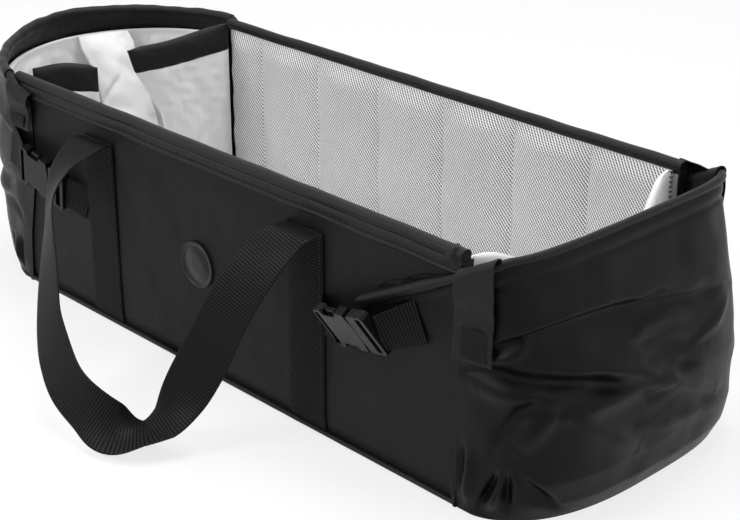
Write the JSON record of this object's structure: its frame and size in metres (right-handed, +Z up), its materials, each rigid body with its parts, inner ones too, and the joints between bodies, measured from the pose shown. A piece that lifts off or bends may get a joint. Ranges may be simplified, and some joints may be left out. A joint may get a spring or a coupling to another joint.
{
  "type": "carrycot",
  "caption": "Soft carrycot with stiff quilted sides, buckled fold-down cloth ends, inner flaps, a mattress and two webbing carry handles.",
  "frame": {"origin": "on the floor under the middle of the whole carrycot's box", "axes": "+X to the foot end, +Y to the far side, +Z up"},
  "size_m": [0.8955, 0.6492, 0.2544],
  "materials": {
    "base_board": "stiff plain board",
    "base_cover": "dark coated cloth, satin",
    "far_foot_buckle_lower_arm": "satin moulded plastic",
    "far_foot_buckle_plug": "satin moulded plastic",
    "far_foot_buckle_socket": "satin moulded plastic",
    "far_foot_buckle_upper_arm": "satin moulded plastic",
    "far_foot_flap": "padded white cotton",
    "far_foot_plug_strap": "ribbed woven webbing",
    "far_foot_socket_strap": "ribbed woven webbing",
    "far_foot_tab": "dark coated cloth, satin",
    "far_foot_webbing": "ribbed woven webbing",
    "far_handle": "ribbed woven webbing",
    "far_head_buckle_lower_arm": "satin moulded plastic",
    "far_head_buckle_plug": "satin moulded plastic",
    "far_head_buckle_socket": "satin moulded plastic",
    "far_head_buckle_upper_arm": "satin moulded plastic",
    "far_head_flap": "padded white cotton",
    "far_head_plug_strap": "ribbed woven webbing",
    "far_head_socket_strap": "ribbed woven webbing",
    "far_head_tab": "dark coated cloth, satin",
    "far_head_webbing": "ribbed woven webbing",
    "far_mesh_lining": "quilted spacer mesh",
    "far_outer_panel": "dark coated cloth, satin",
    "far_rim_binding": "dark bound cloth",
    "far_side_board": "stiff plain board",
    "foot_end_lining": "padded white cotton",
    "foot_end_wall": "dark coated cloth, satin",
    "foot_rim_facing": "dark bound cloth",
    "foot_rim_tube": "dark bound cloth",
    "head_end_lining": "padded white cotton",
    "head_end_wall": "dark coated cloth, satin",
    "head_pillow": "padded white cotton",
    "head_rim_facing": "dark bound cloth",
    "head_rim_tube": "dark bound cloth",
    "mattress": "padded white cotton",
    "near_foot_buckle_lower_arm": "satin moulded plastic",
    "near_foot_buckle_plug": "satin moulded plastic",
    "near_foot_buckle_socket": "satin moulded plastic",
    "near_foot_buckle_upper_arm": "satin moulded plastic",
    "near_foot_flap": "padded white cotton",
    "near_foot_plug_strap": "ribbed woven webbing",
    "near_foot_socket_strap": "ribbed woven webbing",
    "near_foot_tab": "dark coated cloth, satin",
    "near_foot_webbing": "ribbed woven webbing",
    "near_handle": "ribbed woven webbing",
    "near_head_buckle_lower_arm": "satin moulded plastic",
    "near_head_buckle_plug": "satin moulded plastic",
    "near_head_buckle_socket": "satin moulded plastic",
    "near_head_buckle_upper_arm": "satin moulded plastic",
    "near_head_flap": "padded white cotton",
    "near_head_plug_strap": "ribbed woven webbing",
    "near_head_socket_strap": "ribbed woven webbing",
    "near_head_tab": "dark coated cloth, satin",
    "near_head_webbing": "ribbed woven webbing",
    "near_mesh_lining": "quilted spacer mesh",
    "near_outer_panel": "dark coated cloth, satin",
    "near_rim_binding": "dark bound cloth",
    "near_side_board": "stiff plain board",
    "round_badge": "satin moulded rubber"
  },
  "bodies": {
    "shell": {"base_cover": "base_cover", "base_board": "base_board", "round_badge": "round_badge", "near_outer_panel": "near_outer_panel", "near_side_board": "near_side_board", "near_mesh_lining": "near_mesh_lining", "near_rim_binding": "near_rim_binding", "near_head_webbing": "near_head_webbing", "near_foot_webbing": "near_foot_webbing", "near_foot_buckle_socket": "near_foot_buckle_socket", "near_foot_socket_strap": "near_foot_socket_strap", "near_head_buckle_plug": "near_head_buckle_plug", "near_head_plug_strap": "near_head_plug_strap", "far_outer_panel": "far_outer_panel", "far_side_board": "far_side_board", "far_mesh_lining": "far_mesh_lining", "far_rim_binding": "far_rim_binding", "far_head_webbing": "far_head_webbing", "far_foot_webbing": "far_foot_webbing", "far_foot_buckle_socket": "far_foot_buckle_socket", "far_foot_socket_strap": "far_foot_socket_strap", "far_head_buckle_plug": "far_head_buckle_plug", "far_head_plug_strap": "far_head_plug_strap"},
    "near_handle": {"near_handle": "near_handle"},
    "far_handle": {"far_handle": "far_handle"},
    "mattress": {"mattress": "mattress"},
    "head_end": {"head_end_wall": "head_end_wall", "head_rim_tube": "head_rim_tube", "head_rim_facing": "head_rim_facing", "head_end_lining": "head_end_lining", "head_pillow": "head_pillow"},
    "foot_end": {"foot_end_wall": "foot_end_wall", "foot_rim_tube": "foot_rim_tube", "foot_rim_facing": "foot_rim_facing", "foot_end_lining": "foot_end_lining"},
    "near_head_flap": {"near_head_flap": "near_head_flap"},
    "near_head_tab": {"near_head_tab": "near_head_tab"},
    "near_head_socket": {"near_head_buckle_socket": "near_head_buckle_socket", "near_head_socket_strap": "near_head_socket_strap"},
    "near_head_upper_arm": {"near_head_buckle_upper_arm": "near_head_buckle_upper_arm"},
    "near_head_lower_arm": {"near_head_buckle_lower_arm": "near_head_buckle_lower_arm"},
    "far_head_flap": {"far_head_flap": "far_head_flap"},
    "far_head_tab": {"far_head_tab": "far_head_tab"},
    "far_head_socket": {"far_head_buckle_socket": "far_head_buckle_socket", "far_head_socket_strap": "far_head_socket_strap"},
    "far_head_upper_arm": {"far_head_buckle_upper_arm": "far_head_buckle_upper_arm"},
    "far_head_lower_arm": {"far_head_buckle_lower_arm": "far_head_buckle_lower_arm"},
    "near_foot_flap": {"near_foot_flap": "near_foot_flap"},
    "near_foot_tab": {"near_foot_tab": "near_foot_tab"},
    "near_foot_plug": {"near_foot_buckle_plug": "near_foot_buckle_plug", "near_foot_plug_strap": "near_foot_plug_strap"},
    "near_foot_upper_arm": {"near_foot_buckle_upper_arm": "near_foot_buckle_upper_arm"},
    "near_foot_lower_arm": {"near_foot_buckle_lower_arm": "near_foot_buckle_lower_arm"},
    "far_foot_flap": {"far_foot_flap": "far_foot_flap"},
    "far_foot_tab": {"far_foot_tab": "far_foot_tab"},
    "far_foot_plug": {"far_foot_buckle_plug": "far_foot_buckle_plug", "far_foot_plug_strap": "far_foot_plug_strap"},
    "far_foot_upper_arm": {"far_foot_buckle_upper_arm": "far_foot_buckle_upper_arm"},
    "far_foot_lower_arm": {"far_foot_buckle_lower_arm": "far_foot_buckle_lower_arm"}
  },
  "joints": [
    {"name": "near_handle_swing", "type": "hinge", "parent": "shell", "child": "near_handle", "pos_m": [0, -0.1546, 0.207], "axis": [-1, 0, 0], "range_deg": [0, 100]},
    {"name": "far_handle_swing", "type": "hinge", "parent": "shell", "child": "far_handle", "pos_m": [0, 0.1546, 0.207], "axis": [1, 0, 0], "range_deg": [0, 100]},
    {"name": "mattress_lift", "type": "slide", "parent": "shell", "child": "mattress", "axis": [0, 0, 1], "range_m": [0, 0.26]},
    {"name": "head_end_fold", "type": "hinge", "parent": "shell", "child": "head_end", "pos_m": [-0.443, 0, 0.006], "axis": [0, -1, 0], "range_deg": [0, 90]},
    {"name": "foot_end_fold", "type": "hinge", "parent": "shell", "child": "foot_end", "pos_m": [0.443, 0, 0.006], "axis": [0, 1, 0], "range_deg": [0, 90]},
    {"name": "near_head_flap_fold", "type": "hinge", "parent": "head_end", "child": "near_head_flap", "pos_m": [-0.298, -0.1276, 0.05], "axis": [0, 0, -1], "range_deg": [0, 45]},
    {"name": "near_head_tab_lift", "type": "hinge", "parent": "head_end", "child": "near_head_tab", "pos_m": [-0.29244, -0.1548, 0.23998], "axis": [-1, 0, 0], "range_deg": [0, 95]},
    {"name": "near_head_buckle_slide", "type": "slide", "parent": "shell", "child": "near_head_socket", "axis": [-0.9589, -0.0993, 0.2659], "range_m": [0, 0.026], "deforming": ["near_head_buckle_upper_arm", "near_head_buckle_lower_arm"]},
    {"name": "near_head_upper_arm_squeeze", "type": "hinge", "parent": "shell", "child": "near_head_upper_arm", "pos_m": [-0.22871, -0.16573, 0.1587], "axis": [0.0592, -0.9862, -0.1548], "range_deg": [0, 6], "stiffness_Nm_per_rad": 1},
    {"name": "near_head_lower_arm_squeeze", "type": "hinge", "parent": "shell", "child": "near_head_lower_arm", "pos_m": [-0.23759, -0.16148, 0.12825], "axis": [-0.0592, 0.9862, 0.1548], "range_deg": [0, 6], "stiffness_Nm_per_rad": 1},
    {"name": "far_head_flap_fold", "type": "hinge", "parent": "head_end", "child": "far_head_flap", "pos_m": [-0.298, 0.1276, 0.05], "axis": [0, 0, 1], "range_deg": [0, 75]},
    {"name": "far_head_tab_lift", "type": "hinge", "parent": "head_end", "child": "far_head_tab", "pos_m": [-0.29244, 0.1548, 0.23998], "axis": [1, 0, 0], "range_deg": [0, 95]},
    {"name": "far_head_buckle_slide", "type": "slide", "parent": "shell", "child": "far_head_socket", "axis": [-0.9589, 0.0993, 0.2659], "range_m": [0, 0.026], "deforming": ["far_head_buckle_upper_arm", "far_head_buckle_lower_arm"]},
    {"name": "far_head_upper_arm_squeeze", "type": "hinge", "parent": "shell", "child": "far_head_upper_arm", "pos_m": [-0.22871, 0.16573, 0.1587], "axis": [-0.0592, -0.9862, 0.1548], "range_deg": [0, 6], "stiffness_Nm_per_rad": 1},
    {"name": "far_head_lower_arm_squeeze", "type": "hinge", "parent": "shell", "child": "far_head_lower_arm", "pos_m": [-0.23759, 0.16148, 0.12825], "axis": [0.0592, 0.9862, -0.1548], "range_deg": [0, 6], "stiffness_Nm_per_rad": 1},
    {"name": "near_foot_flap_fold", "type": "hinge", "parent": "foot_end", "child": "near_foot_flap", "pos_m": [0.342, -0.13228, 0.05], "axis": [0, 0, 1], "range_deg": [0, 55]},
    {"name": "near_foot_tab_lift", "type": "hinge", "parent": "foot_end", "child": "near_foot_tab", "pos_m": [0.3713, -0.15373, 0.24262], "axis": [-0.9781, -0.2079, 0], "range_deg": [0, 85]},
    {"name": "near_foot_buckle_slide", "type": "slide", "parent": "shell", "child": "near_foot_plug", "axis": [0.972, -0.0698, 0.2244], "range_m": [0, 0.026], "deforming": ["near_foot_buckle_upper_arm", "near_foot_buckle_lower_arm"]},
    {"name": "near_foot_upper_arm_squeeze", "type": "hinge", "parent": "near_foot_plug", "child": "near_foot_upper_arm", "pos_m": [0.24952, -0.18001, 0.15842], "axis": [0.0514, -0.8687, -0.4926], "range_deg": [0, 6], "stiffness_Nm_per_rad": 1},
    {"name": "near_foot_lower_arm_squeeze", "type": "hinge", "parent": "near_foot_plug", "child": "near_foot_lower_arm", "pos_m": [0.25686, -0.16432, 0.13151], "axis": [-0.0514, 0.8687, 0.4926], "range_deg": [0, 6], "stiffness_Nm_per_rad": 1},
    {"name": "far_foot_flap_fold", "type": "hinge", "parent": "foot_end", "child": "far_foot_flap", "pos_m": [0.342, 0.13228, 0.05], "axis": [0, 0, -1], "range_deg": [0, 55]},
    {"name": "far_foot_tab_lift", "type": "hinge", "parent": "foot_end", "child": "far_foot_tab", "pos_m": [0.3713, 0.15586, 0.24258], "axis": [0.9781, -0.2079, 0], "range_deg": [0, 85]},
    {"name": "far_foot_buckle_slide", "type": "slide", "parent": "shell", "child": "far_foot_plug", "axis": [0.972, 0.0698, 0.2244], "range_m": [0, 0.026], "deforming": ["far_foot_buckle_upper_arm", "far_foot_buckle_lower_arm"]},
    {"name": "far_foot_upper_arm_squeeze", "type": "hinge", "parent": "far_foot_plug", "child": "far_foot_upper_arm", "pos_m": [0.24952, 0.18001, 0.15842], "axis": [-0.0514, -0.8687, 0.4926], "range_deg": [0, 6], "stiffness_Nm_per_rad": 1},
    {"name": "far_foot_lower_arm_squeeze", "type": "hinge", "parent": "far_foot_plug", "child": "far_foot_lower_arm", "pos_m": [0.25686, 0.16432, 0.13151], "axis": [0.0514, 0.8687, -0.4926], "range_deg": [0, 6], "stiffness_Nm_per_rad": 1}
  ],
  "couplings": [
    {"joint": "near_head_lower_arm_squeeze", "follows": "near_head_upper_arm_squeeze", "ratio": 1},
    {"joint": "far_head_lower_arm_squeeze", "follows": "far_head_upper_arm_squeeze", "ratio": 1},
    {"joint": "near_foot_lower_arm_squeeze", "follows": "near_foot_upper_arm_squeeze", "ratio": 1},
    {"joint": "far_foot_lower_arm_squeeze", "follows": "far_foot_upper_arm_squeeze", "ratio": 1}
  ]
}
